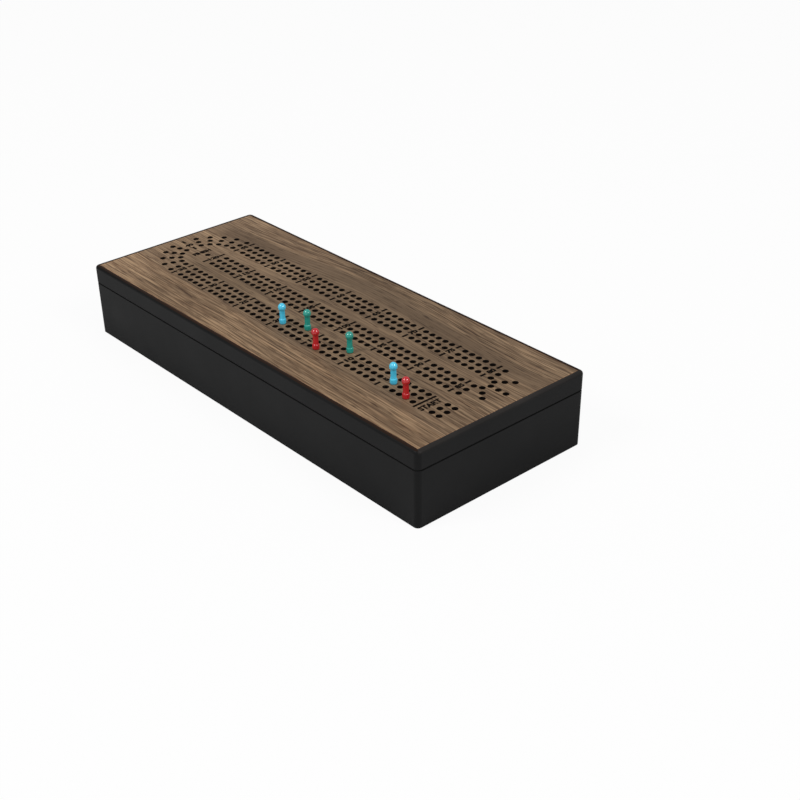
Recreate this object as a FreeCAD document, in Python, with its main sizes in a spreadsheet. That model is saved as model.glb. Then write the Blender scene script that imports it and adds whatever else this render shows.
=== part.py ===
import FreeCAD, Part
import os
import Sketcher

# A flat black box for a pack or two of cards and the pegs, with a hinged lid that is a
# three-track cribbage board.  Millimetres; the origin is the middle of the underside, +Z is up,
# +X runs towards the START end of the board and the plain front faces -Y.

doc = FreeCAD.newDocument("cribbage_box")

# ---------------------------------------------------------------------------------------------
# Driving dimensions
# ---------------------------------------------------------------------------------------------
DIMENSIONS = [
    # the box as a whole
    ("box_length", 292.0),
    ("box_width", 119.0),
    ("box_height", 44.9),
    ("lid_height", 10.9),
    ("seam_gap", 0.3),
    ("wall_thickness", 8.0),
    ("corner_radius", 3.0),
    ("top_edge_radius", 1.8),
    ("seam_edge_bevel", 0.3),
    ("foot_edge_bevel", 0.3),
    # bottom, dividers and felt
    ("bottom_thickness", 4.0),
    ("bottom_rebate", 4.0),
    ("divider_thickness", 4.0),
    ("divider_height", 26.0),
    ("divider_groove_depth", 2.0),
    ("card_well_length", 68.0),
    ("finger_scoop_diameter", 24.0),
    ("felt_thickness", 1.0),
    ("felt_inset", 0.4),
    # playing board
    ("black_border", 2.6),
    ("board_thickness", 8.5),
    ("board_lip_thickness", 3.0),
    ("board_clearance", 0.1),
    # hole field
    ("hole_diameter", 3.4),
    ("hole_depth", 6.5),
    ("rank_pitch", 5.17),
    ("number_gap", 10.34),
    ("track_spacing", 5.43),
    ("column_spacing", 23.05),
    ("ranks_in_group", 5),
    ("groups_in_column", 7),
    ("columns", 3),
    ("ranks_in_quarter", 5),
    ("big_turn_step", 18.0),
    ("ranks_in_small_turn", 5),
    ("small_turn_step", 45.0),
    ("turn_from_end", 37.54),
    ("small_turn_gap", 9.35),
    ("start_gap", 14.15),
    ("start_ranks", 2),
    ("finish_offset", 1.9),
    # pegs
    ("peg_clearance", 0.1),
    ("peg_shank_length", 6.0),
    ("peg_seat_gap", 0.1),
    ("peg_foot_diameter", 4.0),
    ("peg_foot_height", 3.1),
    ("peg_foot_bevel", 0.4),
    ("peg_waist_diameter", 3.1),
    ("peg_head_diameter", 4.4),
    ("peg_head_bevel", 1.2),
    ("peg_height", 12.3),
    ("peg_sides", 12),
    # hinges
    ("hinge_from_middle", 95.0),
    ("hinge_length", 22.0),
    ("knuckle_diameter", 2.5),
    ("pin_diameter", 1.2),
    ("pin_clearance", 0.05),
    ("leaf_thickness", 0.8),
    ("leaf_width", 5.8),
    ("leaf_clearance", 0.1),
    ("moving_clearance", 0.3),
    ("bevel_angle", 49.5),
]

dims = doc.addObject("Spreadsheet::Sheet", "dims")
for row, (alias, value) in enumerate(DIMENSIONS, start=1):
    dims.set(f"A{row}", alias)
    dims.set(f"B{row}", str(value))
    dims.setAlias(f"B{row}", alias)
doc.recompute()

# Heights and lines that several pieces share, as formulas of the sheet
LID_UNDERSIDE = "(dims.box_height - dims.lid_height)"
BASE_TOP = f"({LID_UNDERSIDE} - dims.seam_gap)"
INNER_LENGTH = "(dims.box_length - 2 * dims.wall_thickness)"
INNER_WIDTH = "(dims.box_width - 2 * dims.wall_thickness)"
HALF_SEAM = "(dims.seam_gap / 2)"
HINGE_Y = "(dims.box_width / 2 - dims.knuckle_diameter / 2)"
HINGE_Z = f"({BASE_TOP} + {HALF_SEAM})"
DIVIDER_INNER_X = f"({INNER_LENGTH} / 2 - dims.card_well_length - dims.divider_thickness)"
GROUP_PITCH = "((dims.ranks_in_group - 1) * dims.rank_pitch + dims.number_gap)"
TURN_X = "(dims.turn_from_end - dims.box_length / 2)"
FIRST_RANK_X = f"({TURN_X} + dims.number_gap)"
LAST_RANK_X = f"({FIRST_RANK_X} + (dims.groups_in_column - 1) * {GROUP_PITCH}" \
              " + (dims.ranks_in_group - 1) * dims.rank_pitch)"
SMALL_TURN_X = f"({LAST_RANK_X} + dims.small_turn_gap)"
START_X = f"({LAST_RANK_X} + dims.start_gap)"


# ---------------------------------------------------------------------------------------------
# Sketching helpers: every corner of an outline is held by two distances from the sketch origin
# ---------------------------------------------------------------------------------------------
def origin_plane(body, role):
    return next(feature for feature in body.Origin.OriginFeatures if feature.Role == role)


def new_body(name):
    body = doc.addObject("PartDesign::Body", name)
    body.Label = name
    return body


def place(thing, x="0", y="0", z="0"):
    thing.setExpression("Placement.Base.x", x)
    thing.setExpression("Placement.Base.y", y)
    thing.setExpression("Placement.Base.z", z)


def sketch_on(body, name, role, x="0", y="0", z="0"):
    sketch = body.newObject("Sketcher::SketchObject", name)
    sketch.AttachmentSupport = (origin_plane(body, role), [""])
    sketch.MapMode = "FlatFace"
    sketch.setExpression("AttachmentOffset.Base.x", x)
    sketch.setExpression("AttachmentOffset.Base.y", y)
    sketch.setExpression("AttachmentOffset.Base.z", z)
    return sketch


def hold(sketch, kind, geometry, vertex, formula):
    index = sketch.addConstraint(Sketcher.Constraint(kind, -1, 1, geometry, vertex, 1.0))
    sketch.setExpression(f"Constraints[{index}]", formula)


def outline(sketch, corners):
    """A closed outline of straight lines through corners given as pairs of formulas."""
    count = len(corners)
    spokes = [FreeCAD.Vector(0, 1, 0)]
    turn = FreeCAD.Rotation(FreeCAD.Vector(0, 0, 1), 360.0 / count)
    for _ in range(count):
        spokes.append(turn.multVec(spokes[-1]))
    first = sketch.GeometryCount
    for number in range(count):
        sketch.addGeometry(Part.LineSegment(spokes[number], spokes[number + 1]))
    for number, (across, up) in enumerate(corners):
        line = first + number
        following = first + (number + 1) % count
        sketch.addConstraint(Sketcher.Constraint("Coincident", line, 2, following, 1))
        hold(sketch, "DistanceX", line, 1, across)
        hold(sketch, "DistanceY", line, 1, up)


def rectangle(sketch, x_low, x_high, y_low, y_high):
    outline(sketch, [(x_low, y_low), (x_high, y_low), (x_high, y_high), (x_low, y_high)])


def centred_rectangle(sketch, length, width):
    rectangle(sketch, f"-({length}) / 2", f"({length}) / 2", f"-({width}) / 2", f"({width}) / 2")


def circle(sketch, x, y, diameter):
    index = sketch.addGeometry(Part.Circle(FreeCAD.Vector(1, 1, 0), FreeCAD.Vector(0, 0, 1), 1.0))
    hold(sketch, "DistanceX", index, 3, x)
    hold(sketch, "DistanceY", index, 3, y)
    size = sketch.addConstraint(Sketcher.Constraint("Diameter", index, 2.0))
    sketch.setExpression(f"Constraints[{size}]", diameter)


def hexagon(sketch, x, y, across_flats):
    """A six-sided stand-in for a small round hole, standing on its flats along Y."""
    flat = f"({across_flats}) / 2"
    shoulder = f"({across_flats}) / (2 * sqrt(3))"
    point = f"({across_flats}) / sqrt(3)"
    corners = [
        (f"{x} + {flat}", f"{y} + {shoulder}"),
        (f"{x}", f"{y} + {point}"),
        (f"{x} - {flat}", f"{y} + {shoulder}"),
        (f"{x} - {flat}", f"{y} - {shoulder}"),
        (f"{x}", f"{y} - {point}"),
        (f"{x} + {flat}", f"{y} - {shoulder}"),
    ]
    outline(sketch, corners)


def pad(body, sketch, length):
    feature = body.newObject("PartDesign::Pad", "pad_" + sketch.Name)
    feature.Profile = sketch
    feature.setExpression("Length", length)
    return feature


def pocket(body, sketch, depth, reversed_cut=False, both_ways=False):
    feature = body.newObject("PartDesign::Pocket", "cut_" + sketch.Name)
    feature.Profile = sketch
    feature.Reversed = reversed_cut
    feature.Midplane = both_ways
    feature.setExpression("Length", depth)
    return feature


def mirrored(body, features, role):
    feature = body.newObject("PartDesign::Mirrored", "mirror_" + features[0].Name)
    feature.Originals = features
    feature.MirrorPlane = (origin_plane(body, role), [""])
    body.Tip = feature
    return feature


def fillet(body, base, edges, radius):
    feature = body.newObject("PartDesign::Fillet", "round_" + base.Name)
    feature.Base = (base, edges)
    feature.setExpression("Radius", radius)
    return feature


def bevel(body, base, edges, size):
    feature = body.newObject("PartDesign::Chamfer", "bevel_" + base.Name)
    feature.Base = (base, edges)
    feature.setExpression("Size", size)
    return feature


def upright_edges(feature):
    """Names of the edges that stand parallel to Z."""
    doc.recompute()
    names = []
    for number, edge in enumerate(feature.Shape.Edges, start=1):
        start, end = edge.Vertexes[0].Point, edge.Vertexes[-1].Point
        if abs(start.x - end.x) < 1e-4 and abs(start.y - end.y) < 1e-4:
            names.append(f"Edge{number}")
    return names


def front_edge(feature, level):
    """Name of the front face's edge at the highest (level max) or lowest (level min) corners."""
    doc.recompute()
    front = min(vertex.Y for vertex in feature.Shape.Vertexes)
    height = level(vertex.Z for vertex in feature.Shape.Vertexes)
    for number, edge in enumerate(feature.Shape.Edges, start=1):
        if all(abs(v.Y - front) < 1e-4 and abs(v.Z - height) < 1e-4 for v in edge.Vertexes):
            return [f"Edge{number}"]


def rim_edges(feature, height):
    """Names of the level edges at a height that lie farthest from the Z axis."""
    doc.recompute()
    reach = {}
    for number, edge in enumerate(feature.Shape.Edges, start=1):
        if all(abs(vertex.Z - height) < 1e-4 for vertex in edge.Vertexes):
            reach[f"Edge{number}"] = max(vertex.Point.Length for vertex in edge.Vertexes)
    return [name for name in reach if reach[name] > max(reach.values()) - 1e-4]


# ---------------------------------------------------------------------------------------------
# The two frames: base and lid are each one ring of wood here, split into mitred boards below
# ---------------------------------------------------------------------------------------------
def outer_block(body, height):
    """The full block of a frame with its four upright edges rounded."""
    plan = sketch_on(body, body.Name + "_plan", "XY_Plane")
    centred_rectangle(plan, "dims.box_length", "dims.box_width")
    block = pad(body, plan, height)
    return fillet(body, block, upright_edges(block), "dims.corner_radius")


def cut_middle(body, height):
    inside = sketch_on(body, body.Name + "_inside", "XY_Plane", z=height)
    centred_rectangle(inside, INNER_LENGTH, INNER_WIDTH)
    pocket(body, inside, height)


def hinge_seats(body, name, rim, inward):
    """Stop bevel along the back, and for each hinge a leaf seat and a knuckle trough.

    rim is the height of the face that meets the seam and inward is +1 where the wood lies above
    that face and -1 where it lies below it."""
    axis_z = f"({rim} - ({inward}) * {HALF_SEAM})"
    reach = "(dims.knuckle_diameter / 2 + 1)"
    far_y = f"({HINGE_Y} + {reach})"
    stop = sketch_on(body, name + "_stop_bevel", "YZ_Plane")
    outline(stop, [
        (HINGE_Y, axis_z),
        (far_y, axis_z),
        (far_y, f"{axis_z} + ({inward}) * {reach} * tan(dims.bevel_angle * 1 deg)"),
    ])
    pocket(body, stop, "dims.box_length + 2", both_ways=True)

    seat = sketch_on(body, name + "_leaf_seat", "XY_Plane", x="dims.hinge_from_middle", z=rim)
    half = "(dims.hinge_length / 2 + dims.leaf_clearance)"
    rectangle(seat, f"-{half}", half, f"{HINGE_Y} - dims.leaf_width - dims.leaf_clearance", HINGE_Y)
    seat_cut = pocket(body, seat, "dims.leaf_thickness", reversed_cut=inward > 0)

    trough = sketch_on(body, name + "_trough", "YZ_Plane",
                       z="dims.hinge_from_middle + dims.hinge_length / 2 + dims.moving_clearance")
    circle(trough, HINGE_Y, axis_z, "dims.knuckle_diameter + 2 * dims.moving_clearance")
    trough_cut = pocket(body, trough, "dims.hinge_length + 2 * dims.moving_clearance")
    mirrored(body, [seat_cut, trough_cut], "YZ_Plane")


base_frame = new_body("base_frame")
base_block = outer_block(base_frame, BASE_TOP)
base_rim = bevel(base_frame, base_block, front_edge(base_block, max), "dims.seam_edge_bevel")
bevel(base_frame, base_rim, front_edge(base_rim, min), "dims.foot_edge_bevel")
cut_middle(base_frame, BASE_TOP)

rebate = sketch_on(base_frame, "bottom_rebate", "XY_Plane")
centred_rectangle(rebate, f"{INNER_LENGTH} + 2 * dims.bottom_rebate",
                  f"{INNER_WIDTH} + 2 * dims.bottom_rebate")
pocket(base_frame, rebate, "dims.bottom_thickness", reversed_cut=True)

groove = sketch_on(base_frame, "divider_groove", "XY_Plane",
                   z="dims.bottom_thickness + dims.divider_height")
rectangle(groove, DIVIDER_INNER_X, f"{DIVIDER_INNER_X} + dims.divider_thickness",
          f"-{INNER_WIDTH} / 2 - dims.divider_groove_depth",
          f"{INNER_WIDTH} / 2 + dims.divider_groove_depth")
groove_cut = pocket(base_frame, groove, "dims.divider_height")
mirrored(base_frame, [groove_cut], "YZ_Plane")
hinge_seats(base_frame, "base", BASE_TOP, -1)

lid_frame = new_body("lid_frame")
lid_block = outer_block(lid_frame, "dims.lid_height")
lid_top = fillet(lid_frame, lid_block, front_edge(lid_block, max), "dims.top_edge_radius")
bevel(lid_frame, lid_top, front_edge(lid_top, min), "dims.seam_edge_bevel")
cut_middle(lid_frame, "dims.lid_height")
place(lid_frame, z=LID_UNDERSIDE)
lip_seat = sketch_on(lid_frame, "board_lip_seat", "XY_Plane", z="dims.lid_height")
centred_rectangle(lip_seat, "dims.box_length - 2 * dims.black_border",
                  "dims.box_width - 2 * dims.black_border")
pocket(lid_frame, lip_seat, "dims.board_lip_thickness")
hinge_seats(lid_frame, "lid", "0", 1)

# Each side of a frame is the ring's share of one wedge, so the boards meet in mitres
HALF_LENGTH = "dims.box_length / 2"
HALF_WIDTH = "dims.box_width / 2"
MITRE_X = "(dims.box_length - dims.box_width) / 2"
WEDGES = {
    "front": [(f"-{HALF_LENGTH}", f"-{HALF_WIDTH}"), (HALF_LENGTH, f"-{HALF_WIDTH}"),
              (MITRE_X, "0"), (f"-{MITRE_X}", "0")],
    "back": [(HALF_LENGTH, HALF_WIDTH), (f"-{HALF_LENGTH}", HALF_WIDTH),
             (f"-{MITRE_X}", "0"), (MITRE_X, "0")],
    "left": [(f"-{HALF_LENGTH}", HALF_WIDTH), (f"-{HALF_LENGTH}", f"-{HALF_WIDTH}"),
             (f"-{MITRE_X}", "0")],
    "right": [(HALF_LENGTH, f"-{HALF_WIDTH}"), (HALF_LENGTH, HALF_WIDTH), (MITRE_X, "0")],
}
nodes = []
for side, corners in WEDGES.items():
    plan = doc.addObject("Sketcher::SketchObject", f"{side}_wedge_plan")
    outline(plan, corners)
    wedge = doc.addObject("Part::Extrusion", f"{side}_wedge")
    wedge.Base = plan
    wedge.DirMode = "Custom"
    wedge.Dir = FreeCAD.Vector(0, 0, 1)
    wedge.Solid = True
    wedge.setExpression("LengthFwd", "dims.box_height")
    for frame, name in ((base_frame, f"base_{side}_wall"), (lid_frame, f"lid_{side}_rail")):
        board = doc.addObject("Part::Common", name)
        board.Base = frame
        board.Tool = wedge
        board.Label = name
        nodes.append(board)


# ---------------------------------------------------------------------------------------------
# Bottom, felt and dividers
# ---------------------------------------------------------------------------------------------
def slab(name, length, width, height, x="0", y="0", z="0"):
    """A plain board or sheet, centred on x and y and standing on z."""
    box = doc.addObject("Part::Box", name)
    box.Label = name
    box.setExpression("Length", length)
    box.setExpression("Width", width)
    box.setExpression("Height", height)
    place(box, f"{x} - ({length}) / 2", f"{y} - ({width}) / 2", z)
    nodes.append(box)


slab("base_bottom_panel", f"{INNER_LENGTH} + 2 * dims.bottom_rebate",
     f"{INNER_WIDTH} + 2 * dims.bottom_rebate", "dims.bottom_thickness")

FELT_WIDTH = f"{INNER_WIDTH} - 2 * dims.felt_inset"
CARD_FELT_LENGTH = "dims.card_well_length - 2 * dims.felt_inset"
CARD_WELL_X = f"({INNER_LENGTH} / 2 - dims.card_well_length / 2)"
slab("felt_card_well_left", CARD_FELT_LENGTH, FELT_WIDTH, "dims.felt_thickness",
     x=f"-{CARD_WELL_X}", z="dims.bottom_thickness")
slab("felt_card_well_right", CARD_FELT_LENGTH, FELT_WIDTH, "dims.felt_thickness",
     x=CARD_WELL_X, z="dims.bottom_thickness")
slab("felt_peg_well", f"2 * {DIVIDER_INNER_X} - 2 * dims.felt_inset", FELT_WIDTH,
     "dims.felt_thickness", z="dims.bottom_thickness")


def divider(name, x):
    """A cross board let into the front and back walls, with a scoop for lifting the cards."""
    body = new_body(name)
    face = sketch_on(body, name + "_face", "YZ_Plane")
    half_width = f"({INNER_WIDTH} / 2 + dims.divider_groove_depth)"
    rectangle(face, f"-{half_width}", half_width, "0", "dims.divider_height")
    pad(body, face, "dims.divider_thickness")
    scoop = sketch_on(body, name + "_scoop", "YZ_Plane", z="dims.divider_thickness")
    circle(scoop, "0", "dims.divider_height", "dims.finger_scoop_diameter")
    pocket(body, scoop, "dims.divider_thickness")
    place(body, x=x, z="dims.bottom_thickness")
    nodes.append(body)


divider("divider_left", f"-{DIVIDER_INNER_X} - dims.divider_thickness")
divider("divider_right", DIVIDER_INNER_X)


# ---------------------------------------------------------------------------------------------
# Playing board: a rabbeted panel whose lip covers the rails up to the black border
# ---------------------------------------------------------------------------------------------
board = new_body("playing_board")
core_plan = sketch_on(board, "board_core_plan", "XY_Plane")
centred_rectangle(core_plan, f"{INNER_LENGTH} - 2 * dims.board_clearance",
                  f"{INNER_WIDTH} - 2 * dims.board_clearance")
pad(board, core_plan, "dims.board_thickness")
lip_plan = sketch_on(board, "board_lip_plan", "XY_Plane",
                     z="dims.board_thickness - dims.board_lip_thickness")
lip_margin = "2 * (dims.black_border + dims.board_clearance)"
centred_rectangle(lip_plan, f"dims.box_length - {lip_margin}", f"dims.box_width - {lip_margin}")
pad(board, lip_plan, "dims.board_lip_thickness")


def rank_of_holes(name, x, y, middle):
    """A cut of three peg holes, one for each track, in a line along Y."""
    sketch = sketch_on(board, name, "XY_Plane", x=x, y=y, z="dims.board_thickness")
    for track in (-1, 0, 1):
        hexagon(sketch, "0", f"{middle} + ({track}) * dims.track_spacing", "dims.hole_diameter")
    return pocket(board, sketch, "dims.hole_depth")


def row_step(sketch, name, pitch, count):
    """Copies at one pitch along X."""
    step = board.newObject("PartDesign::LinearPattern", name)
    step.Direction = (sketch, ["H_Axis"])
    step.Mode = "Spacing"
    step.setExpression("Offset", pitch)
    step.setExpression("Occurrences", count)
    return step


def turn_step(sketch, name, angle, count):
    """Copies turned clockwise about the sketch origin."""
    step = board.newObject("PartDesign::PolarPattern", name)
    step.Axis = (sketch, ["N_Axis"])
    step.Mode = "Spacing"
    step.Reversed = True
    step.setExpression("Offset", angle)
    step.setExpression("Occurrences", count)
    return step


def repeat(original, name, make_steps):
    """The original cut, repeated by each step in turn."""
    feature = board.newObject("PartDesign::MultiTransform", name)
    feature.Originals = [original]
    feature.Transformations = make_steps(original.Profile[0])
    feature.Refine = False
    board.Tip = feature


def straight_steps(sketch):
    columns = row_step(sketch, "columns_of_board", "dims.column_spacing", "dims.columns")
    columns.Direction = (sketch, ["V_Axis"])
    return [
        row_step(sketch, "ranks_of_group", "dims.rank_pitch", "dims.ranks_in_group"),
        row_step(sketch, "groups_of_column", GROUP_PITCH, "dims.groups_in_column"),
        columns,
    ]


def big_turn_steps(sketch):
    other_quarter = board.newObject("PartDesign::Mirrored", "other_quarter")
    other_quarter.MirrorPlane = (sketch, ["H_Axis"])
    return [
        turn_step(sketch, "ranks_of_quarter", "dims.big_turn_step", "dims.ranks_in_quarter"),
        other_quarter,
    ]


def small_turn_steps(sketch):
    return [turn_step(sketch, "ranks_of_small_turn", "dims.small_turn_step",
                      "dims.ranks_in_small_turn")]


def start_steps(sketch):
    return [row_step(sketch, "ranks_of_start", "dims.rank_pitch", "dims.start_ranks")]


repeat(rank_of_holes("big_turn_rank", TURN_X, "0", "-dims.column_spacing"),
       "big_turn", big_turn_steps)
repeat(rank_of_holes("small_turn_rank", SMALL_TURN_X, "dims.column_spacing / 2",
                     "dims.column_spacing / 2"), "small_turn", small_turn_steps)
repeat(rank_of_holes("start_rank", START_X, "-dims.column_spacing", "0"),
       "start_holes", start_steps)

finish = sketch_on(board, "finish_hole", "XY_Plane", z="dims.board_thickness")
circle(finish, f"{TURN_X} - dims.finish_offset", "0", "dims.hole_diameter")
pocket(board, finish, "dims.hole_depth")
repeat(rank_of_holes("straight_rank", FIRST_RANK_X, "-dims.column_spacing", "0"),
       "straight_runs", straight_steps)
place(board, z="dims.box_height - dims.board_thickness")
nodes.append(board)

slab("lid_lining", f"{INNER_LENGTH} - 2 * dims.felt_inset", FELT_WIDTH, "dims.felt_thickness",
     z="dims.box_height - dims.board_thickness - dims.felt_thickness")


# ---------------------------------------------------------------------------------------------
# Pegs: shank, beaded foot, waist and ball head, each length a many-sided bar with its rims bevelled
# ---------------------------------------------------------------------------------------------
def rank_x(rank):
    """Place along X of a rank of the near column, counted from 1 at the START end."""
    groups = (rank - 1) // int(dims.ranks_in_group)
    return f"{LAST_RANK_X} - ({rank - 1}) * dims.rank_pitch" \
           f" - ({groups}) * (dims.number_gap - dims.rank_pitch)"


def bar(body, part, diameter, low, high):
    """A many-sided bar that stands for a turned length between two heights above the board."""
    prism = body.newObject("PartDesign::AdditivePrism", f"{body.Name}_{part}")
    prism.setExpression("Polygon", "dims.peg_sides")
    prism.setExpression("Circumradius", f"({diameter}) / 2")
    prism.setExpression("Height", f"{high} - ({low})")
    place(prism, z=low)
    return prism


def peg(name, rank, track):
    """One peg in the near column's hole of that rank and track."""
    body = new_body(name)
    head_low = "(dims.peg_height - dims.peg_head_diameter)"
    head = bar(body, "head", "dims.peg_head_diameter", head_low, "dims.peg_height")
    rims = rim_edges(head, dims.peg_height)
    rims += rim_edges(head, dims.peg_height - dims.peg_head_diameter)
    bevel(body, head, rims, "dims.peg_head_bevel")
    bar(body, "waist", "dims.peg_waist_diameter", "dims.peg_foot_height",
        f"{head_low} + dims.peg_head_diameter / 2")
    foot = bar(body, "foot", "dims.peg_foot_diameter", "dims.peg_seat_gap", "dims.peg_foot_height")
    bevel(body, foot, rim_edges(foot, dims.peg_foot_height), "dims.peg_foot_bevel")
    bar(body, "shank", "dims.hole_diameter - 2 * dims.peg_clearance", "-dims.peg_shank_length",
        "dims.peg_seat_gap")
    place(body, rank_x(rank), f"-dims.column_spacing + ({track}) * dims.track_spacing",
          "dims.box_height")
    nodes.append(body)


PEGS = {
    "peg_red_front": (14, -1),
    "peg_red_back": (2, -1),
    "peg_blue_front": (20, 0),
    "peg_blue_back": (5, 0),
    "peg_green_front": (17, 1),
    "peg_green_back": (11, 1),
}
for name, (rank, track) in PEGS.items():
    peg(name, rank, track)


# ---------------------------------------------------------------------------------------------
# Hinges: two small butt hinges let into the rims, turning in the bevel of the back edge
# ---------------------------------------------------------------------------------------------
KNUCKLE_LENGTH = "((dims.hinge_length - 2 * dims.moving_clearance) / 3)"
KNUCKLE_STEP = f"({KNUCKLE_LENGTH} + dims.moving_clearance)"
BORE_DIAMETER = "(dims.pin_diameter + 2 * dims.pin_clearance)"


def hinge_leaf(name, x, upward):
    """A leaf about its own pin: the base's has the two end knuckles, the lid's the middle one."""
    body = new_body(name)
    half = "dims.hinge_length / 2"
    at_bore = f"-{BORE_DIAMETER} / 2"
    at_notch = "-dims.knuckle_diameter / 2 - dims.moving_clearance"
    if upward:
        shoulder, ends_y, middle_y = f"{KNUCKLE_LENGTH} / 2", at_notch, at_bore
    else:
        shoulder, ends_y, middle_y = f"{KNUCKLE_STEP} - {KNUCKLE_LENGTH} / 2", at_bore, at_notch
    sign = "" if upward else "-"
    face = sketch_on(body, name + "_plate", "XY_Plane", z=f"{sign}{HALF_SEAM}")
    outline(face, [
        (f"-{half}", "-dims.leaf_width"), (half, "-dims.leaf_width"),
        (half, ends_y), (shoulder, ends_y), (shoulder, middle_y),
        (f"-({shoulder})", middle_y), (f"-({shoulder})", ends_y), (f"-{half}", ends_y),
    ])
    plate = pad(body, face, "dims.leaf_thickness")
    plate.Reversed = not upward

    first = "0" if upward else KNUCKLE_STEP
    roll_end = sketch_on(body, name + "_knuckle", "YZ_Plane",
                         z=f"{first} - {KNUCKLE_LENGTH} / 2")
    circle(roll_end, "0", "0", "dims.knuckle_diameter")
    roll = pad(body, roll_end, KNUCKLE_LENGTH)
    if not upward:
        mirrored(body, [roll], "YZ_Plane")
    bore = sketch_on(body, name + "_bore", "YZ_Plane")
    hexagon(bore, "0", "0", BORE_DIAMETER)
    pocket(body, bore, "dims.hinge_length + 2", both_ways=True)
    place(body, x, HINGE_Y, HINGE_Z)
    nodes.append(body)


def hinge_pin(name, x):
    pin = doc.addObject("Part::Cylinder", name)
    pin.Label = name
    pin.Placement.Rotation = FreeCAD.Rotation(FreeCAD.Vector(0, 1, 0), 90)
    pin.setExpression("Radius", "dims.pin_diameter / 2")
    pin.setExpression("Height", "dims.hinge_length")
    place(pin, f"{x} - dims.hinge_length / 2", HINGE_Y, HINGE_Z)
    nodes.append(pin)


for side, sign in (("left", "-"), ("right", "")):
    hinge_leaf(f"hinge_base_leaf_{side}", f"{sign}dims.hinge_from_middle", upward=False)
    hinge_leaf(f"hinge_lid_leaf_{side}", f"{sign}dims.hinge_from_middle", upward=True)
    hinge_pin(f"hinge_pin_{side}", f"{sign}dims.hinge_from_middle")


# ---------------------------------------------------------------------------------------------
# Check every object, then write one STEP file for each piece
# ---------------------------------------------------------------------------------------------
doc.recompute()
for thing in doc.Objects:
    if "Invalid" in thing.State or "Error" in thing.State:
        raise RuntimeError(f"{thing.Name} failed: {thing.getStatusString()}")
for node in nodes:
    if node.Shape.isNull() or not node.Shape.isValid() or not node.Shape.Solids:
        raise RuntimeError(f"{node.Label} has no sound solid")

os.makedirs("parts", exist_ok=True)
for node in nodes:
    node.Shape.exportStep(f"parts/{node.Label}.step")
    print(f"{node.Label:24s} {len(node.Shape.Solids)} solid(s) {node.Shape.Volume:12.2f} mm3")
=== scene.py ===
import math

import bmesh
import bpy
from mathutils import Matrix, Vector


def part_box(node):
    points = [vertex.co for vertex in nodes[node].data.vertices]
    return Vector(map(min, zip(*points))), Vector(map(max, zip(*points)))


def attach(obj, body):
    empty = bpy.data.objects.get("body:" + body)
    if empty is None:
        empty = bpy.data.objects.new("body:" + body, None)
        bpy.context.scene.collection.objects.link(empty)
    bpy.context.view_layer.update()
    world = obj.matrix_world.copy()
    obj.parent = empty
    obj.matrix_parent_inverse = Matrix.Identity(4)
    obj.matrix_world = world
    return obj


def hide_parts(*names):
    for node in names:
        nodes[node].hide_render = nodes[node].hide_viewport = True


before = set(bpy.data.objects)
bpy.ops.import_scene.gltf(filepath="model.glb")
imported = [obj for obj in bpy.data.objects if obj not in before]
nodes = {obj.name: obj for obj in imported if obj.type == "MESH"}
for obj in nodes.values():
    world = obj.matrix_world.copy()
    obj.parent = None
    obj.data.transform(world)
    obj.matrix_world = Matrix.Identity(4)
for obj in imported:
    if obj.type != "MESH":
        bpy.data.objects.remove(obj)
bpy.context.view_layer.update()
MM = 0.001

# --------------------------------------------------------------
# Base: four mitred boards round a plywood bottom, and two cross boards let into grooves.
# Wood, sprayed with two coats of black satin lacquer and lightly rubbed down, so that the
# surface has a fine orange peel and the grain can just be felt along each board.
# --------------------------------------------------------------
LACQUER_BLACK = (0.0045, 0.0046, 0.0047, 1.0)
LACQUER_RUBBED = (0.0095, 0.0096, 0.0098, 1.0)
LACQUER_ROUGHNESS = (0.36, 0.50)
LACQUER_SPECULAR = 0.08
RUBBING, SHEEN_CHANGE = 9.0, 45.0
ORANGE_PEEL = 1300.0
ORANGE_PEEL_STRENGTH = 0.12
WOOD_GRAIN = 60.0
WOOD_GRAIN_STRENGTH = 0.10
LACQUER_RELIEF = 0.05 * MM
LONG_GRAIN = (0.6, 14.0, 14.0)
CROSS_GRAIN = (14.0, 0.6, 14.0)
SEAM_PAINTED_SHADE = (0.0004, 0.0004, 0.0004, 1.0)
SEAM_HALF_WIDTH = 0.45 * MM
SEAM_INSET = 0.5 * MM
SEAM_FADE = 0.1 * MM
seam_z = (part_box("base_front_wall")[1].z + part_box("lid_front_rail")[0].z) / 2
half_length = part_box("base_right_wall")[1].x
half_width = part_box("base_back_wall")[1].y


def add_node(tree, kind, inputs=None, **settings):
    """A node in a tree; an input is given a value or the socket that feeds it."""
    made = tree.nodes.new(kind)
    for name, value in settings.items():
        setattr(made, name, value)
    for name, value in (inputs or {}).items():
        if isinstance(value, bpy.types.NodeSocket):
            tree.links.new(value, made.inputs[name])
        else:
            made.inputs[name].default_value = value
    return made


def new_material(name):
    """A node material with nothing in it yet, its tree and its object coordinates."""
    material = bpy.data.materials.new(name)
    material.use_nodes = True
    material.node_tree.nodes.clear()
    coordinates = add_node(material.node_tree, "ShaderNodeTexCoord")
    return material, material.node_tree, coordinates.outputs["Object"]


def show(tree, shader):
    output = add_node(tree, "ShaderNodeOutputMaterial")
    tree.links.new(shader.outputs[0], output.inputs["Surface"])


def surfaced(material, inputs):
    """The material, ended by a surface with those inputs."""
    show(material.node_tree, add_node(material.node_tree, "ShaderNodeBsdfPrincipled", inputs))
    return material


def ramp(tree, factor, *stops):
    """A colour that runs through (position, colour) stops."""
    made = add_node(tree, "ShaderNodeValToRGB", {"Fac": factor})
    elements = made.color_ramp.elements
    while len(elements) < len(stops):
        elements.new(0.5)
    for element, (position, colour) in zip(elements, stops):
        element.position = position
        element.color = colour
    return made.outputs[0]


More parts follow.
